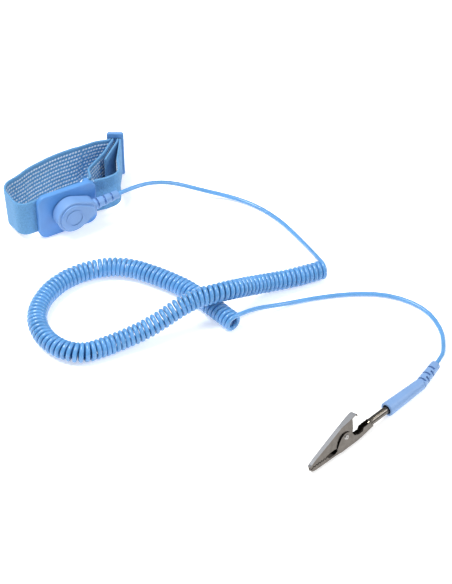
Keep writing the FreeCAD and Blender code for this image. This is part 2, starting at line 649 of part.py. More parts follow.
def teeth(gap):
    points = []
    for i in range(TOOTH_COUNT):
        points.append((TOOTH_START + i * TOOTH_PITCH, TOOTH_LOW_Z + gap))
        points.append((TOOTH_START + (i + 0.5) * TOOTH_PITCH, TOOTH_LOW_Z + TOOTH_HEIGHT + gap))
    return points


def across_hole(radius):
    return Part.makeCylinder(radius, 20, Vector(RIVET_AT, -10, RIVET_Z), Vector(0, 1, 0))


def make_clip_lower_jaw():
    """A folded steel channel: toothed jaw, two ears for the rivet, and a rolled barrel."""
    floor_line = [(39.2, 1.05), (31.2, 0.0), (2.2, 0.0), (0.2, 0.5)]
    tail_top = [(30.4, 2.2), (32.4, 2.3), (33.2, 3.5), (36.6, 3.7), (37.4, 3.6), (39.2, 3.8)]
    outline = [(0.2, TOOTH_LOW_Z)] + teeth(0) + EAR_OUTLINE + tail_top + floor_line
    inner = [(1.0, 20.0), (1.0, 0.65), (2.4, SHEET), (31.2, SHEET), (42.2, 1.8), (42.2, 20.0)]
    jaw = side_prism(outline).common(plan_prism(LOWER_HALF_WIDTHS, 0))
    inner_widths = LOWER_HALF_WIDTHS[:-1] + [(42.2, 1.6)]
    jaw = jaw.cut(side_prism(inner).common(plan_prism(inner_widths, SHEET)))
    barrel_length = BARREL_END - BARREL_START
    barrel_base = Vector(BARREL_START, 0, JAW_TO_AXIS)
    barrel = Part.makeCylinder(BARREL_RADIUS, barrel_length, barrel_base, Vector(1, 0, 0))
    bore = Part.makeCylinder(BARREL_BORE, 40, Vector(34.0, 0, JAW_TO_AXIS), Vector(1, 0, 0))
    seam = Part.makeBox(40, 0.35, 5, Vector(BARREL_START + 0.8, -0.175, 0))
    seam.rotate(Vector(0, 0, 0), Vector(1, 0, 0), 35)
    seam.translate(Vector(0, 0, JAW_TO_AXIS))
    jaw = jaw.fuse(barrel).removeSplitter()
    return place_clip(jaw.cut([bore, seam, across_hole(CLIP_RIVET_RADIUS)]))


def make_clip_upper_jaw():
    """The lever: a toothed channel that opens downward and ends in a wide curled thumb tab."""
    ridge = [(28.4, 12.2), (20.8, 10.5), (3.0, 4.3), (0.9, 3.4), (0.2, 2.8)]
    underside = [(10.9, 2.9), (14.8, 3.1), (16.4, 2.5), (22.2, 2.9), (26.6, 4.4), (27.5, 6.4), (28.0, 9.0)]
    outline = [(0.2, TOOTH_LOW_Z + JAW_GAP)] + teeth(JAW_GAP) + underside + ridge
    inner = [(1.0, -2.0), (1.0, 2.75), (3.2, 3.8), (21.0, 10.05), (30.0, 12.05), (42.0, -2.0)]
    lever = side_prism(outline).common(plan_prism(UPPER_HALF_WIDTHS, 0))
    inner_widths = UPPER_HALF_WIDTHS[:-1] + [(45.0, 1.22)]
    lever = lever.cut(side_prism(inner).common(plan_prism(inner_widths, SHEET)))
    thumb = side_prism(THUMB_TOP + THUMB_UNDER).common(plan_prism(THUMB_HALF_WIDTHS, 0))
    lever = lever.fuse(thumb).removeSplitter()
    return place_clip(lever.cut(across_hole(CLIP_RIVET_RADIUS + 0.05)))


def make_clip_rivet():
    shank = Part.makeCylinder(CLIP_RIVET_RADIUS, 2 * EAR_HALF, Vector(RIVET_AT, -EAR_HALF, RIVET_Z),
                              Vector(0, 1, 0))
    heads = [Part.makeCone(1.3, 1.0, 0.4, Vector(RIVET_AT, side * EAR_HALF, RIVET_Z), Vector(0, side, 0))
             for side in (-1, 1)]
    dimples = [Part.makeSphere(0.7, Vector(RIVET_AT, side * (EAR_HALF + 0.9), RIVET_Z)) for side in (-1, 1)]
    return place_clip(shank.fuse(heads).removeSplitter().cut(dimples))


def make_clip_spring():
    """A torsion spring around the rivet, as close coils with two legs."""
    coil_radius = 1.2
    wire = 0.22
    coils = [Part.makeTorus(coil_radius, wire, Vector(RIVET_AT, (i - 1) * 0.48, RIVET_Z), Vector(0, 1, 0))
             for i in range(3)]
    upper_leg = Part.makeCylinder(wire, 5.0, Vector(RIVET_AT + 0.7, 0.48, RIVET_Z + coil_radius - 0.1),
                                  Vector(1, 0, 0.5))
    lower_leg = Part.makeCylinder(wire, 7.0, Vector(RIVET_AT + 0.2, -0.48, RIVET_Z - coil_radius),
                                  Vector(1, 0, -0.4))
    return place_clip(Part.Compound(coils + [upper_leg, lower_leg]))


def main():
    os.makedirs("parts", exist_ok=True)
    strap = {"band_long_run": make_band_long_run(), "band_slider_pass": make_band_slider_pass(),
             "band_plate_fold": make_band_plate_fold(), "band_sewn_end": make_band_sewn_end(),
             "end_stitching": make_end_stitching(), "snap_plate": make_snap_plate(),
             "contact_plate": make_contact_plate(), "snap_stud": make_snap_stud(),
             "stud_rivet": make_stud_rivet(), "slider_buckle": make_slider_buckle(),
             "snap_head_body": make_snap_head_body(), "snap_head_cap": make_snap_head_cap(),
             "snap_socket": make_snap_socket(), "socket_ring_spring": make_socket_ring_spring(),
             "safety_resistor": make_safety_resistor(), "resistor_leads": make_resistor_leads(),
             "wire_crimp": make_wire_crimp()}
    on_cord = {"head_strain_relief": make_head_strain_relief(),
               "cord_lead_strap": tube(strap_lead_route(), CORD_DIAMETER),
               "cord_coil": tube(coil_route(), COIL_DIAMETER),
               "cord_lead_clip": tube(clip_lead_route(), CORD_DIAMETER),
               "plug_boot": make_plug_boot(), "banana_pin": make_banana_pin(),
               "banana_spring": make_banana_spring(), "clip_lower_jaw": make_clip_lower_jaw(),
               "clip_upper_jaw": make_clip_upper_jaw(), "clip_rivet": make_clip_rivet(),
               "clip_spring": make_clip_spring()}
    box = FreeCAD.BoundBox()
    for node, shape in strap.items():
        box.add(save(shape, node).optimalBoundingBox())
    for node, shape in on_cord.items():
        save(shape, node)
    print("strap box", box)


main()
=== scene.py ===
import math
import random

import bpy
from mathutils import Matrix, Vector


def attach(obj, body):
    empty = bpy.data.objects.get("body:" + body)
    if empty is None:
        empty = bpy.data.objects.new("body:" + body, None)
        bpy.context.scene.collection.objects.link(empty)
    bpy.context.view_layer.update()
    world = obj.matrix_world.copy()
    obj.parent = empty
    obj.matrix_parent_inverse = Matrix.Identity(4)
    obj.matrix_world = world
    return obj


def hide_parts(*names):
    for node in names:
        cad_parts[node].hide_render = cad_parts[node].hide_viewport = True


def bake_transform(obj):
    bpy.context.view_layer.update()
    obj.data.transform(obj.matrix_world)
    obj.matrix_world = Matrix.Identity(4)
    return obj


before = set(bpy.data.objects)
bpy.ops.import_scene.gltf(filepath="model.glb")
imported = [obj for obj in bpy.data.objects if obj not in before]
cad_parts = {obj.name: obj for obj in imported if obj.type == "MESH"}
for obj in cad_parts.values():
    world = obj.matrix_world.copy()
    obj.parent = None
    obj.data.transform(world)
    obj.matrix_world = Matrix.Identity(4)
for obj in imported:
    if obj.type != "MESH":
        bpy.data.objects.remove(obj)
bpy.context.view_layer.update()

MM = 0.001
UP = Vector((0, 0, 1))


def plan(x, y):
    """A place on the table, in mm."""
    return Vector((x, y, 0))


# Camera (mm)
CAMERA_PLACE = Vector((-296.7, -650.3, 542.6))
CAMERA_PITCH = math.radians(50.0)
CAMERA_YAW = math.radians(-30.5)
FOCAL_LENGTH = 108.7
SENSOR_WIDTH = 36.0

# Wristband's route, as the CAD makes it (mm)
BAND_MID_Z = 12.65
BAND_WIDTH = 20.5
BAND_THICK = 1.2
FIXED_Y = -8.9
BAR_X = 1.2
FOLD_BEND = 1.5
RETURN_Y = FIXED_Y + 2 * FOLD_BEND
SLIDER_X = 31.3
SLIDER_Y = 18.3
SLIDER_TURN = math.radians(-31.0)
SEWN_BEND = 1.27
PASS_BEND = 2.57
LONG_RUN_END = plan(13.0, 20.3)
OUTER_SPLIT = plan(24.9, 3.4)
RETURN_SPLIT = plan(16.6, 7.4)
SEWN_START = plan(20.6, 9.9)
FREE_CORNER_SHARE = 0.45
EASING_ROUNDS = 6
FOLD_SEARCH = 40.0
TAIL_SEARCH = 24.0

# How the band leaves its plan: where each change starts and ends, and how far it goes (mm, or shares)
ROUNDED_END_X = (-24.0, -35.0)
ROUNDED_END_FOOT = 0.55
ROUNDED_END_RISE = 0.75
FAR_SIDE_X = (13.0, 7.0)
FAR_SIDE_Y = (6.0, 17.0)
FAR_LEAN = 3.6
LEAN_PIVOT = 0.85
PLATE_SIDE_Y = (5.0, -4.0)
LOWER_EDGE_LIFT = 1.2

# Webbing's relief (mm, or shares)
KNIT_STEP = 0.27
KNIT_PITCH = 1.35
KNIT_ROW = KNIT_PITCH * 0.8
KNIT_HEIGHT = 0.2
RIDGE_HEIGHT = 0.1
RELIEF_SINK = 0.08
SELVEDGE = 1.5
OUTER_SELVEDGE_HEIGHT = 0.1
INNER_SELVEDGE_HEIGHT = 0.05
EDGE_ROUND = 0.5
EDGE_SHARE = 0.55

# Silver stitches (mm, or shares)
SILVER_ROWS = 9
ROW_GAP = (BAND_WIDTH - 2 * SELVEDGE) / SILVER_ROWS
SILVER_PITCH = 1.7
STITCH_LENGTHS = (1.5, 1.7)
STITCH_WIDTHS = (1.1, 1.3)
STITCH_HEIGHT = 0.4
STITCH_SINK = 0.1
STITCH_DRIFT = 0.06
STITCH_LEAN = 0.4
BEAD_SIDES = 6
BEAD_SHOULDER = 0.72
BEAD_SHOULDER_LEVEL = 0.75
SEAM_STITCHES = 8
SEAM_MARGIN = 1.4
SEAM_STITCH = (1.5, 0.45, 0.2)

# Loose ends of silver yarn (mm)
TUFT_ROOT = Vector((4.4, -8.6, BAND_MID_Z + BAND_WIDTH / 2 - 0.6))
TUFT_SEED = 11
TUFT_ENDS = 9
TUFT_POINTS = 4
TUFT_STEP = 0.55
TUFT_RADIUS = 0.13
TUFT_SPREAD = ((-0.7, 0.7), (-0.5, 0.5), (-0.6, 0.2))
TUFT_HEADING = ((-0.2, 0.8), (-0.9, -0.1), (0.1, 0.9))
TUFT_CURL = ((-0.5, 0.5), (-0.5, 0.5), (-0.7, 0.2))

# Snap head's tail and the boot's slotted end, which the cord leaves (mm)
STUD_X = -11.7
STUD_Z = 13.0
HEAD_MID_Y = -16.5
HEAD_TILT = math.radians(6.0)
RELIEF_END = 26.0
HEAD_LEAD_STRAIGHT = 6.5
PLUG_Z = 3.5
BOOT_MOUTH = Vector((49.4, -202.1, PLUG_Z))
CLIP_TURN = math.radians(14.5)
BOOT_LENGTH = 23.0
BOOT_RELIEF_LENGTH = 15.0
BOOT_RELIEF_TURN = math.radians(13.5)
BOOT_LEAD_STRAIGHT = 7.0

# Cord (mm, or shares)
CORD_DIAMETER = 2.2
CORD_Z = CORD_DIAMETER / 2
COIL_Z = 4.9
COIL_OVER_Z = 15.3
HELIX_RADIUS = 3.8
HELIX_PITCH = 2.44
POINTS_PER_TURN = 14
PITCH_SPREAD = 0.05
TURN_WOBBLE = 0.08
TURN_INSET = 0.02
COIL_SEED = 4
TURN_TOP_Z = COIL_Z + HELIX_RADIUS
STRAP_LEAD = [(32.2, -15.8, 15.6), (45.8, -15.8, 10.6), (59.3, -22.2, 4.6), (71.8, -31.7, 1.6),
              (79.3, -44.7, CORD_Z), (82.9, -61.2, CORD_Z), (82.7, -78.2, 1.6), (79.4, -94.4, 6.2),
              (77.4, -103.8, TURN_TOP_Z - 0.1)]
COIL_ROUTE = [(77.1, -107.2, COIL_Z), (62.3, -105.8, COIL_Z), (41.3, -104.4, 8.5),
              (23.8, -108.2, COIL_OVER_Z), (5.8, -105.0, COIL_OVER_Z), (-15.7, -105.6, 8.0),
              (-34.7, -103.8, COIL_Z), (-52.3, -102.8, COIL_Z), (-60.9, -86.8, COIL_Z),
              (-57.5, -67.2, COIL_Z), (-42.3, -53.4, COIL_Z), (-23.7, -49.4, COIL_Z),
              (-4.9, -54.7, COIL_Z), (6.8, -71.6, COIL_Z), (16.1, -92.2, COIL_Z), (20.5, -119.4, COIL_Z)]
CLIP_LEAD = [(24.2, -118.9, TURN_TOP_Z - 0.2), (34.0, -116.6, 6.0), (48.8, -116.1, 1.5),
             (65.3, -119.5, CORD_Z), (82.8, -126.0, CORD_Z), (97.8, -136.0, CORD_Z),
             (106.3, -152.7, CORD_Z), (103.5, -169.7, CORD_Z), (95.8, -181.0, 2.0)]

# Surroundings (metres, except the floor's reach in mm)
FLOOR_REACH = 4000
FLOOR_DROP = 0.0002
FLOOR_GLOW = 0.42
LIGHT_TARGET = Vector((0.0, -0.09, 0.0))
SKY_STRENGTH = 0.55

FINISHES = {"plate": ["snap_plate"],
            "slider": ["slider_buckle"],
            "head": ["snap_head_body", "snap_head_cap", "head_strain_relief"],
            "boot": ["plug_boot"],
            "steel": ["contact_plate", "stud_rivet"],
            "nickel": ["snap_stud", "snap_socket", "socket_ring_spring", "resistor_leads", "wire_crimp",
                       "clip_spring"],
            "resistor": ["safety_resistor"],
            "brassy": ["banana_pin", "banana_spring"],
            "clip": ["clip_lower_jaw"],
            # the upper jaw gets the clip's metal with a painted highlight on its upward faces
            "clip_top_highlight": ["clip_upper_jaw"],
            "rivet": ["clip_rivet"]}


# ---- small helpers ----

def add_object(name, data):
    piece = bpy.data.objects.new(name, data)
    bpy.context.collection.objects.link(piece)
    return piece


def mesh_object(name, points, faces, smooth=True):
    """An object from points in mm."""
    mesh = bpy.data.meshes.new(name)
    mesh.from_pydata([Vector(p) * MM for p in points], [], faces)
    mesh.validate()
    mesh.polygons.foreach_set("use_smooth", [smooth] * len(mesh.polygons))
    return add_object(name, mesh)


def new_curve(name, resolution, radius=0.0, roundness=0):
    """An empty curve; with a radius in mm it becomes a round tube with closed ends."""
    data = bpy.data.curves.new(name, "CURVE")
    data.dimensions = "3D"
    data.resolution_u = resolution
    data.bevel_depth = radius * MM
    data.bevel_resolution = roundness
    data.use_fill_caps = radius > 0
    return data


def add_spline(data, points):
    """Adds one smooth line along points in mm to a curve."""
    spline = data.splines.new("NURBS")
    spline.points.add(len(points) - 1)
    for control, point in zip(spline.points, points):
        control.co = (*(point * MM), 1.0)
    spline.order_u = 3
    spline.use_endpoint_u = True


def finish_piece(piece, material, body=None):
    """Gives a piece its material and, where it has one, its body."""
    piece.data.materials.append(material)
    if body:
        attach(piece, body)
    return piece


def random_vector(draw, ranges):
    return Vector([draw.uniform(low, high) for low, high in ranges])


def eased(value, start, end):
    """0 up to the start and 1 past the end, whichever way they run, with a smooth change between."""
    share = min(max((value - start) / (end - start), 0.0), 1.0)
    return share * share * (3 - 2 * share)


# ---- camera ----

def make_camera():
    data = bpy.data.cameras.new("camera")
    data.lens = FOCAL_LENGTH
    data.sensor_width = SENSOR_WIDTH
    data.clip_start = 0.05
    data.clip_end = 20.0
    camera = add_object("camera", data)
    camera.location = CAMERA_PLACE * MM
    camera.rotation_euler = (CAMERA_PITCH, 0.0, CAMERA_YAW)
    bpy.context.scene.camera = camera


# ---- cord ----

def level_direction(turn):
    """A level unit vector, turned from the x axis."""
    return Vector((math.cos(turn), math.sin(turn), 0))


def head_point(along):
    """A point on the axis of the snap head's tail."""
    return Vector((STUD_X + along * math.cos(HEAD_TILT), HEAD_MID_Y,
                   STUD_Z + along * math.sin(HEAD_TILT)))


def boot_relief_point(along):
    """A point on the axis of the boot's slotted end, which bends away from the plug."""
    bend = BOOT_MOUTH + level_direction(CLIP_TURN) * BOOT_LENGTH
    return bend + level_direction(CLIP_TURN + BOOT_RELIEF_TURN) * along


def strap_lead_points():
    return [head_point(RELIEF_END), head_point(RELIEF_END + HEAD_LEAD_STRAIGHT),
            *(Vector(point) for point in STRAP_LEAD)]


def clip_lead_points():
    return [*(Vector(point) for point in CLIP_LEAD),
            boot_relief_point(BOOT_RELIEF_LENGTH + BOOT_LEAD_STRAIGHT),
            boot_relief_point(BOOT_RELIEF_LENGTH)]


def read_path(points):
    """Closely spaced points, in mm, on the smooth line along a route."""
    data = new_curve("route", 24)
    add_spline(data, points)
    holder = add_object("route", data)
    bpy.context.view_layer.update()
    line = bpy.data.meshes.new_from_object(holder)
    path = [vertex.co / MM for vertex in line.vertices]
    bpy.data.objects.remove(holder)
    return path


def lengths_along(path):
    totals = [0.0]
    for a, b in zip(path, path[1:]):
        totals.append(totals[-1] + (b - a).length)
    return totals


def walker(path):
    """A function that gives the point and direction at a distance along a path, and the path's length."""
    totals = lengths_along(path)

    def at(distance):
        distance = min(max(distance, 0.0), totals[-1])
        low = 0
        high = len(totals) - 1
        while high - low > 1:
            middle = (low + high) // 2
            if totals[middle] <= distance:
                low = middle
            else:
                high = middle
        step = path[high] - path[low]
        share = (distance - totals[low]) / max(totals[high] - totals[low], 1e-9)
        return path[low] + step * share, step.normalized()

    return at, totals[-1]


def helix_points():
    """The coil: turns wound about its route, slightly uneven, starting and ending on top."""
    draw = random.Random(COIL_SEED)
    at, total = walker(read_path([Vector(point) for point in COIL_ROUTE]))
    turns = round(total / HELIX_PITCH)
    stations = [0.0]
    for _ in range(turns):
        stations.append(stations[-1] + draw.uniform(1 - PITCH_SPREAD, 1 + PITCH_SPREAD))
    points = []
    for turn in range(turns):
        wobble = draw.uniform(-TURN_WOBBLE, TURN_WOBBLE)
        for i in range(POINTS_PER_TURN):
            share = i / POINTS_PER_TURN
            station = stations[turn] + (stations[turn + 1] - stations[turn]) * share
            centre, along = at(total * station / stations[-1])
            upward = (UP - along * along.z).normalized()
            across = along.cross(upward)
            angle = -2 * math.pi * share
            radius = HELIX_RADIUS + wobble * math.sin(math.pi * share) - TURN_INSET
            points.append(centre + upward * math.cos(angle) * radius
                          + across * math.sin(angle) * radius)
    end = at(total)[0]
    points.append(end + UP * HELIX_RADIUS)
    return points


def make_cord(material):
    """The whole cord as one tube: a lead, the coil's turns and the other lead."""
    data = new_curve("cord", 3, CORD_DIAMETER / 2, 3)
    add_spline(data, strap_lead_points() + helix_points() + clip_lead_points())
    cord = add_object("cord", data)
    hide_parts("cord_lead_strap", "cord_coil", "cord_lead_clip")
    finish_piece(cord, material, "cord_set")


# ---- wristband's route ----

def slider_point(along, outward):
    """A place from the slider's middle: along its face, and outwards from it."""
    return plan(SLIDER_X + along * math.cos(SLIDER_TURN) - outward * math.sin(SLIDER_TURN),
                SLIDER_Y + along * math.sin(SLIDER_TURN) + outward * math.cos(SLIDER_TURN))


def band_route():
    """The band from its fixed end to its sewn tail: each corner with the radius that rounds it."""
    pass_start = slider_point(PASS_BEND, -5.5)
    before_outer = OUTER_SPLIT - (pass_start - OUTER_SPLIT).normalized() * 2.0
    before_return = RETURN_SPLIT - (SEWN_START - RETURN_SPLIT).normalized() * 2.6
    long_run = [(plan(-2.4, FIXED_Y), None), (plan(-26.0, FIXED_Y), 30.0), (plan(-35.3, -8.1), 4.6),
                (plan(-35.5, 9.0), 8.0), (plan(-18.5, 16.6), 30.0), (plan(-3.5, 19.9), 60.0),
                (plan(8.0, 20.3), None), (plan(21.0, 20.4), 14.0)]
    through_slider = [(slider_point(-PASS_BEND, -1.72), 0.9),
                      (slider_point(-PASS_BEND, PASS_BEND), PASS_BEND),
                      (slider_point(PASS_BEND, PASS_BEND), PASS_BEND), (pass_start, None)]
    to_the_plate = [(before_outer, 12.0), (plan(19.0, -9.6), 7.0), (plan(10.5, -9.9), 10.0),
                    (plan(5.0, FIXED_Y), 6.0)]
    round_the_bar = [(plan(BAR_X - FOLD_BEND, FIXED_Y), FOLD_BEND),
                     (plan(BAR_X - FOLD_BEND, RETURN_Y), FOLD_BEND)]
    back_to_slider = [(plan(4.9, RETURN_Y), 1.8), (plan(7.0, 1.2), 4.0), (before_return, 6.0),
                      (SEWN_START, 12.0)]
    sewn_tail = [(slider_point(-SEWN_BEND - 1.2, -4.6), None), (slider_point(-SEWN_BEND, -1.9), None),
                 (slider_point(-SEWN_BEND, SEWN_BEND), SEWN_BEND),
                 (slider_point(SEWN_BEND, SEWN_BEND), SEWN_BEND), (slider_point(SEWN_BEND, -2.6), 8.0),
                 (plan(24.4, 9.6), 20.0), (plan(18.0, 4.0), None)]
    return long_run + through_slider + to_the_plate + round_the_bar + back_to_slider + sewn_tail


def rounded_plan(route, step):
    """Evenly spaced points along a plan route whose corners are rounded."""
    path = [route[0][0]]
    for i in range(1, len(route) - 1):
        before, corner, after = route[i - 1][0], route[i][0], route[i + 1][0]
        into = (corner - before).normalized()
        out = (after - corner).normalized()
        turn = into.angle(out)
        half = math.tan(turn / 2)
        if half < 1e-4:
            path.append(corner)
            continue
        radius = route[i][1]
        if radius is None:
            shorter = min((corner - before).length, (after - corner).length)
            radius = FREE_CORNER_SHARE * shorter / half
        centre = corner + (out - into).normalized() * (radius / math.cos(turn / 2))
        start = corner - into * radius * half
        sign = 1 if into.cross(out).z > 0 else -1
        pieces = max(3, int(turn * radius / step * 2))
        for k in range(pieces + 1):
            turned = Matrix.Rotation(sign * turn * k / pieces, 3, "Z") @ (start - centre)
            path.append(centre + turned)
    path.append(route[-1][0])
    at, total = walker(path)
    count = round(total / step)
    return [at(total * i / count)[0] for i in range(count + 1)]


def soften(path, rounds):
    """The same path with its corners eased a little, its ends kept."""
    for _ in range(rounds):
        middle = [(a + b * 2 + c) / 4 for a, b, c in zip(path, path[1:], path[2:])]
        path = [path[0]] + middle + [path[-1]]
    return path


def nearest(path, point, first=0):
    return min(range(first, len(path)), key=lambda i: (path[i] - point).length)


def side_of(path, i):
    """The direction out of the band's outer face at a point of its path."""
    before = path[max(i - 1, 0)]
    after = path[min(i + 1, len(path) - 1)]
    along = (after - before).normalized()
    return Vector((-along.y, along.x, 0))


def bulge(point, z):
    """How far the band stands out beyond its plan: at the rounded end, and on the leaning far side."""
    rounded_end = eased(point.x, *ROUNDED_END_X) * (ROUNDED_END_FOOT + ROUNDED_END_RISE * z / BAND_WIDTH)
    far_side = eased(point.y, *FAR_SIDE_Y) * eased(point.x, *FAR_SIDE_X)
    return rounded_end + far_side * FAR_LEAN * (z / BAND_WIDTH - LEAN_PIVOT)


def height_at(point, z):
    """The height of a place on the band; the lower edge is drawn up a little on the plate's side."""
    lift = LOWER_EDGE_LIFT * eased(point.y, *PLATE_SIDE_Y)
    return BAND_MID_Z - BAND_WIDTH / 2 + z + lift * (1.0 - z / BAND_WIDTH)


# ---- webbing ----

def thickness_share(z):
    """How much of its full thickness the band has at a height, thinner at its edges."""
    edge = min(z, BAND_WIDTH - z)
    if edge < EDGE_ROUND:
        return EDGE_SHARE + (1 - EDGE_SHARE) * math.sqrt(max(edge, 0.0) / EDGE_ROUND)
    return 1.0


def in_selvedge(z):
    return min(z, BAND_WIDTH - z) < SELVEDGE


def outer_relief(distance, z):
    """Height of the outer face's small knit dots, in staggered rows that stop short of the selvedges."""
    if in_selvedge(z):
        return OUTER_SELVEDGE_HEIGHT
    shift = KNIT_PITCH / 2 if int(z / KNIT_ROW) % 2 else 0.0
    along = 0.5 + 0.5 * math.cos(2 * math.pi * (distance + shift) / KNIT_PITCH)
    across = 0.5 - 0.5 * math.cos(2 * math.pi * z / KNIT_ROW)
    return KNIT_HEIGHT * along * across


def inner_relief(z):
    """Height of the inner face's long ridges, one under each silver row."""
    if in_selvedge(z):
        return INNER_SELVEDGE_HEIGHT
    return RIDGE_HEIGHT * math.cos(2 * math.pi * ((z - SELVEDGE) / ROW_GAP - 0.5))


def make_band_piece(name, path, first, last, material):
    """One stretch of webbing: knit dots on its outer face, long ridges on its inner face."""
    rows = round(BAND_WIDTH / KNIT_STEP)
    points = []
    for i in range(first, last + 1):
        side = side_of(path, i)
        for face in (1, -1):
            for k in range(rows + 1):
                z = BAND_WIDTH * k / rows
                relief = outer_relief(i * KNIT_STEP, z) if face == 1 else inner_relief(z)
                depth = BAND_THICK / 2 * thickness_share(z) + relief - RELIEF_SINK
                reach = face * depth + bulge(path[i], z)
                points.append(path[i] + side * reach + UP * height_at(path[i], z))
    ring = 2 * (rows + 1)
    order = list(range(rows + 1)) + list(range(ring - 1, rows, -1))
    faces = []
    count = last - first + 1
    for i in range(count - 1):
        for k in range(ring):
            a = order[k]
            b = order[(k + 1) % ring]
            faces.append((i * ring + a, i * ring + b, (i + 1) * ring + b, (i + 1) * ring + a))
    for base in (0, (count - 1) * ring):
        for k in range(rows):
            faces.append((base + k, base + k + 1, base + rows + 2 + k, base + rows + 1 + k))
    piece = mesh_object(name, points, faces)
    return finish_piece(piece, material)


# ---- silver yarn ----

def add_bead(points, faces, centre, along, across, out, size):
    """Adds one raised stitch, a low dome, to a mesh's points and faces."""
    length, width, height = size
    base = len(points)
    for share, level in ((1.0, 0.0), (BEAD_SHOULDER, BEAD_SHOULDER_LEVEL)):
        for k in range(BEAD_SIDES):
            angle = 2 * math.pi * k / BEAD_SIDES
            points.append(centre + along * math.cos(angle) * length / 2 * share
                          + across * math.sin(angle) * width / 2 * share + out * height * level)
    points.append(centre + out * height)
    shoulder = base + BEAD_SIDES
    top = shoulder + BEAD_SIDES
    around = [(k, (k + 1) % BEAD_SIDES) for k in range(BEAD_SIDES)]
    faces += [(base + a, base + b, shoulder + b, shoulder + a) for a, b in around]
    faces += [(shoulder + a, shoulder + b, top) for a, b in around]
    faces.append(tuple(reversed(range(base, shoulder))))


def make_silver_rows(name, path, first, last, material):
    """Rows of conductive stitches that stand on the band's inner face."""
    draw = random.Random(len(path) + first)
    points = []
    faces = []
    steps = SILVER_PITCH / KNIT_STEP
    for row in range(SILVER_ROWS):
        z = SELVEDGE + ROW_GAP * (row + 0.5)
        start = first + (0.25 + 0.5 * (row % 2)) * steps + 1
        while start < last - steps / 2:
            i = int(start)
            side = side_of(path, i)
            along = Vector((side.y, -side.x, 0))
            out = side * -1
            centre = path[i] + out * (BAND_THICK / 2 - STITCH_SINK - bulge(path[i], z))
            centre += UP * (height_at(path[i], z) + draw.uniform(-STITCH_DRIFT, STITCH_DRIFT))
            lean = (UP + along * STITCH_LEAN).normalized()
            size = (draw.uniform(*STITCH_LENGTHS), draw.uniform(*STITCH_WIDTHS), STITCH_HEIGHT)
            add_bead(points, faces, centre, along, lean, out, size)
            start += steps
    piece = mesh_object(name, points, faces)
    return finish_piece(piece, material)


def make_tail_stitches(path, material):
    """The seam's stitches, on both faces of the sewn tail beside the slider."""
    points = []
    faces = []
    i = nearest(path, slider_point(SEWN_BEND, -2.4), len(path) - round(TAIL_SEARCH / KNIT_STEP))
    side = side_of(path, i)
    along = Vector((side.y, -side.x, 0))
    for k in range(SEAM_STITCHES):
        z = BAND_MID_Z + (BAND_WIDTH - 2 * SEAM_MARGIN) * (k / (SEAM_STITCHES - 1) - 0.5)
        for face in (1, -1):
            centre = path[i] + side * face * (BAND_THICK / 2) + UP * z
            add_bead(points, faces, centre, UP, along, side * face, SEAM_STITCH)
    stitches = mesh_object("tail_stitches", points, faces)
    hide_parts("end_stitching")
    return finish_piece(stitches, material)


def make_silver_tuft(material):
    """A few loose ends of silver yarn where the band goes behind the plate's upper corner."""
    draw = random.Random(TUFT_SEED)
    data = new_curve("silver_tuft", 12, TUFT_RADIUS, 1)
    for _ in range(TUFT_ENDS):
        at = TUFT_ROOT + random_vector(draw, TUFT_SPREAD)
        heading = random_vector(draw, TUFT_HEADING)
        points = []
        for _ in range(TUFT_POINTS):
            points.append(at)
            at = at + heading * TUFT_STEP
            heading = heading + random_vector(draw, TUFT_CURL)
        add_spline(data, points)
    tuft = add_object("silver_tuft", data)
    finish_piece(tuft, material, "wristband")


def make_band(materials):
    """The band in the stretches that the slider's motion needs, each with its silver rows."""
    path = soften(rounded_plan(band_route(), KNIT_STEP), EASING_ROUNDS)
    run_end = nearest(path, LONG_RUN_END)
    bar_top = nearest(path, slider_point(0, PASS_BEND), run_end)
    outer_end = nearest(path, OUTER_SPLIT, bar_top)
    return_end = nearest(path, RETURN_SPLIT, outer_end + round(FOLD_SEARCH / KNIT_STEP))
    stretches = [
        ("run", 0, run_end, "band_long_run", None),
        ("pass_back", run_end, bar_top, "band_slider_pass", (LONG_RUN_END, slider_point(-5.0, -1.0))),
        ("pass_front", bar_top, outer_end, "band_slider_pass", (OUTER_SPLIT, slider_point(2.0, -3.0))),
        ("fold", outer_end, return_end, "band_plate_fold", None),
        ("tail", return_end, len(path) - 1, "band_sewn_end", (RETURN_SPLIT, slider_point(-1.5, -2.0)))]
    for name, first, last, node, moving in stretches:
        strip = make_band_piece("band_" + name, path, first, last, materials["webbing"])
        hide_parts(node)
        pieces = [strip, make_silver_rows("silver_rows_" + name, path, first, last, materials["silver"])]
        if name == "tail":
            pieces.append(make_tail_stitches(path, materials["silver"]))
        for piece in pieces:
            if moving is None:
                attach(piece, "wristband")
            else:
                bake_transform(piece)


# ---- materials ----

def new_material(name, colour, roughness, metallic=0.0):
    material = bpy.data.materials.new(name)
    material.use_nodes = True
    shader = material.node_tree.nodes["Principled BSDF"]
    shader.inputs["Base Color"].default_value = (*colour, 1.0)
    shader.inputs["Roughness"].default_value = roughness
    shader.inputs["Metallic"].default_value = metallic
    return material, shader


def noise(material, scale, detail=3.0):
    """A noise texture fixed to the piece."""
    nodes = material.node_tree.nodes
    place = nodes.new("ShaderNodeTexCoord")
    texture = nodes.new("ShaderNodeTexNoise")
    texture.inputs["Scale"].default_value = scale
    texture.inputs["Detail"].default_value = detail
    material.node_tree.links.new(place.outputs["Object"], texture.inputs["Vector"])
    return texture.outputs["Fac"]


def set_ramp(ramp, low, dark, high, light):
    """Makes a colour ramp go from one colour to another between two positions."""
    for element, position, colour in zip(ramp.color_ramp.elements, (low, high), (dark, light)):
        element.position = position
        element.color = (*colour, 1.0)


def ramp_colours(material, source, dark, light, low=0.35, high=0.65):
    ramp = material.node_tree.nodes.new("ShaderNodeValToRGB")
    set_ramp(ramp, low, dark, high, light)
    material.node_tree.links.new(source, ramp.inputs["Fac"])
    return ramp.outputs["Color"]


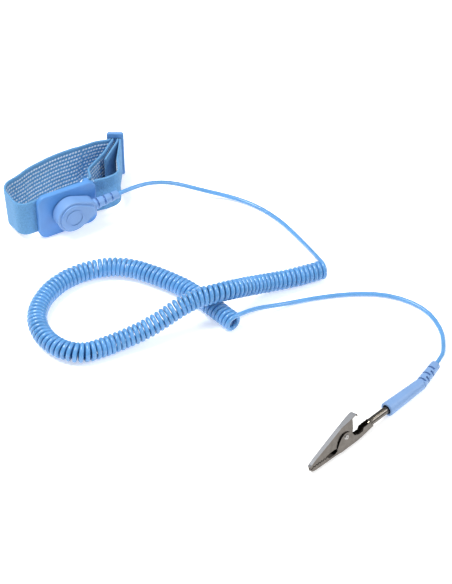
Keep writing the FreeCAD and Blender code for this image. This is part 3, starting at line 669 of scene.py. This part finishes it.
def shade_colour(material, shader, source, dark, light):
    """Drives a material's colour between two tones."""
    tone = ramp_colours(material, source, dark, light)
    material.node_tree.links.new(tone, shader.inputs["Base Color"])


def add_bump(material, shader, source, distance, strength):
    bump = material.node_tree.nodes.new("ShaderNodeBump")
    bump.inputs["Distance"].default_value = distance
    bump.inputs["Strength"].default_value = strength
    material.node_tree.links.new(source, bump.inputs["Height"])
    material.node_tree.links.new(bump.outputs["Normal"], shader.inputs["Normal"])


def shade_pair(colour, spread):
    """A darker and a lighter tone of a colour."""
    dark = tuple(c * (1 - spread) for c in colour)
    light = tuple(min(c * (1 + spread), 1.0) for c in colour)
    return dark, light


def moulded_plastic(name, colour, roughness):
    """Moulded plastic: slight cloudiness and a very fine grain."""
    material, shader = new_material(name, colour, roughness)
    cloud = noise(material, scale=90.0)
    shade_colour(material, shader, cloud, *shade_pair(colour, spread=0.05))
    grain = noise(material, scale=2600.0, detail=2.0)
    add_bump(material, shader, grain, distance=0.00003, strength=0.5)
    return material


def webbing_cloth(name, colour):
    """Knitted webbing: fine yarn noise in colour and bump, with a soft sheen."""
    material, shader = new_material(name, colour, roughness=0.85)
    yarn = noise(material, scale=1500.0, detail=2.0)
    shade_colour(material, shader, yarn, *shade_pair(colour, spread=0.1))
    shader.inputs["Sheen Weight"].default_value = 0.1
    shader.inputs["Sheen Roughness"].default_value = 0.5
    add_bump(material, shader, yarn, distance=0.00006, strength=0.5)
    return material


def silver_yarn(name):
    """Silver-coated yarn: bluish and slightly metallic, with uneven strands."""
    material, shader = new_material(name, (0.72, 0.78, 0.88), roughness=0.45, metallic=0.1)
    strand = noise(material, scale=1800.0, detail=2.0)
    shade_colour(material, shader, strand, (0.42, 0.56, 0.74), (0.74, 0.84, 0.93))
    add_bump(material, shader, strand, distance=0.0001, strength=0.6)
    return material


def glossy_jacket(name, colour):
    """A smooth polyurethane jacket with a clear surface."""
    material, shader = new_material(name, colour, roughness=0.28)
    cloud = noise(material, scale=120.0)
    shade_colour(material, shader, cloud, *shade_pair(colour, spread=0.06))
    shader.inputs["Coat Weight"].default_value = 0.35
    shader.inputs["Coat Roughness"].default_value = 0.12
    shader.inputs["Subsurface Weight"].default_value = 0.05
    shader.inputs["Subsurface Scale"].default_value = 0.001
    return material


def paint_top_highlight(material, tone, colour):
    """Painted top light: the same tone with a pale highlight colour painted on the faces that look
    upwards, standing in for the light that falls on them.
    """
    nodes = material.node_tree.nodes
    links = material.node_tree.links
    place = nodes.new("ShaderNodeTexCoord")
    split = nodes.new("ShaderNodeSeparateXYZ")
    links.new(place.outputs["Normal"], split.inputs["Vector"])
    # mask of how far each face looks upwards, where the painted highlight goes
    upward = ramp_colours(material, split.outputs["Z"], (0, 0, 0), (1, 1, 1), low=0.3, high=0.85)
    mix = nodes.new("ShaderNodeMix")
    mix.data_type = "RGBA"
    links.new(upward, mix.inputs["Factor"])
    links.new(tone, mix.inputs["A"])
    mix.inputs["B"].default_value = (*colour, 1.0)
    return mix.outputs["Result"]


def plated_metal(name, colour, roughness, painted_top_colour=None):
    """Plated or brushed metal, slightly uneven in tone; a painted highlight colour can be given to its
    faces that look upwards.
    """
    material, shader = new_material(name, colour, roughness, metallic=1.0)
    wear = noise(material, scale=400.0)
    tone = ramp_colours(material, wear, *shade_pair(colour, spread=0.12))
    # painted highlight on the upward faces, standing in for light from above
    if painted_top_colour:
        tone = paint_top_highlight(material, tone, painted_top_colour)
    material.node_tree.links.new(tone, shader.inputs["Base Color"])
    fine = noise(material, scale=3000.0, detail=2.0)
    add_bump(material, shader, fine, distance=0.00002, strength=0.4)
    return material


def make_materials():
    clip_colour = (0.13, 0.118, 0.106)
    return {"webbing": webbing_cloth("webbing", (0.107, 0.295, 0.55)),
            "silver": silver_yarn("silver_yarn"),
            "plate": moulded_plastic("plate", (0.095, 0.285, 0.66), roughness=0.36),
            "slider": moulded_plastic("slider", (0.12, 0.30, 0.62), roughness=0.4),
            "head": moulded_plastic("head", (0.162, 0.315, 0.61), roughness=0.4),
            "boot": moulded_plastic("boot", (0.18, 0.315, 0.57), roughness=0.42),
            "jacket": glossy_jacket("jacket", (0.105, 0.31, 0.63)),
            "steel": plated_metal("steel", (0.6, 0.6, 0.6), roughness=0.3),
            "nickel": plated_metal("nickel", (0.7, 0.68, 0.65), roughness=0.2),
            "rivet": plated_metal("rivet", (0.3, 0.29, 0.28), roughness=0.25),
            "brassy": plated_metal("brassy", (0.62, 0.56, 0.45), roughness=0.25),
            "clip": plated_metal("clip", clip_colour, roughness=0.24),
            # the clip's metal with a pale painted highlight on the faces that look upwards
            "clip_top_highlight": plated_metal("clip_top_highlight", clip_colour, roughness=0.24, painted_top_colour=(0.66, 0.68, 0.72)),
            "resistor": moulded_plastic("resistor", (0.6, 0.45, 0.25), roughness=0.5)}


def dress_nodes(materials):
    """Gives each shown CAD node its material."""
    for finish, nodes in FINISHES.items():
        for node in nodes:
            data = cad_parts[node].data
            data.materials.clear()
            data.materials.append(materials[finish])


# ---- surroundings ----

def make_floor():
    """A plain white table that glows a little, so that only contact shadows show on it."""
    material, shader = new_material("floor", (0.96, 0.96, 0.96), roughness=0.9)
    shader.inputs["Specular IOR Level"].default_value = 0.1
    shader.inputs["Emission Color"].default_value = (1.0, 1.0, 1.0, 1.0)
    shader.inputs["Emission Strength"].default_value = FLOOR_GLOW
    corners = [(-FLOOR_REACH, -FLOOR_REACH, 0), (FLOOR_REACH, -FLOOR_REACH, 0),
               (FLOOR_REACH, FLOOR_REACH, 0), (-FLOOR_REACH, FLOOR_REACH, 0)]
    floor = mesh_object("floor", corners, [(0, 1, 2, 3)], smooth=False)
    floor.location.z = -FLOOR_DROP
    floor.data.materials.append(material)


def make_sky():
    """A studio that is bright overhead and dark at its sides, which metal shows as contrast."""
    world = bpy.data.worlds.new("studio")
    world.use_nodes = True
    nodes = world.node_tree.nodes
    links = world.node_tree.links
    place = nodes.new("ShaderNodeTexCoord")
    split = nodes.new("ShaderNodeSeparateXYZ")
    ramp = nodes.new("ShaderNodeValToRGB")
    set_ramp(ramp, low=0.12, dark=(0.12, 0.12, 0.13), high=0.55, light=(1.0, 1.0, 1.0))
    links.new(place.outputs["Generated"], split.inputs["Vector"])
    links.new(split.outputs["Z"], ramp.inputs["Fac"])
    links.new(ramp.outputs["Color"], nodes["Background"].inputs["Color"])
    nodes["Background"].inputs["Strength"].default_value = SKY_STRENGTH
    bpy.context.scene.world = world
    bpy.context.scene.view_settings.view_transform = "Standard"


def area_light(name, place, size, power):
    data = bpy.data.lights.new(name, "AREA")
    data.size = size
    data.energy = power
    light = add_object(name, data)
    light.location = place
    light.rotation_euler = (LIGHT_TARGET - Vector(place)).to_track_quat("-Z", "Y").to_euler()


def make_lights():
    area_light("key", (-0.34, 0.12, 0.88), size=0.42, power=9.0)
    area_light("fill", (0.55, -0.65, 0.6), size=0.4, power=3.5)


def main():
    make_camera()
    materials = make_materials()
    make_cord(materials["jacket"])
    make_band(materials)
    make_silver_tuft(materials["silver"])
    dress_nodes(materials)
    make_floor()
    make_sky()
    make_lights()


main()
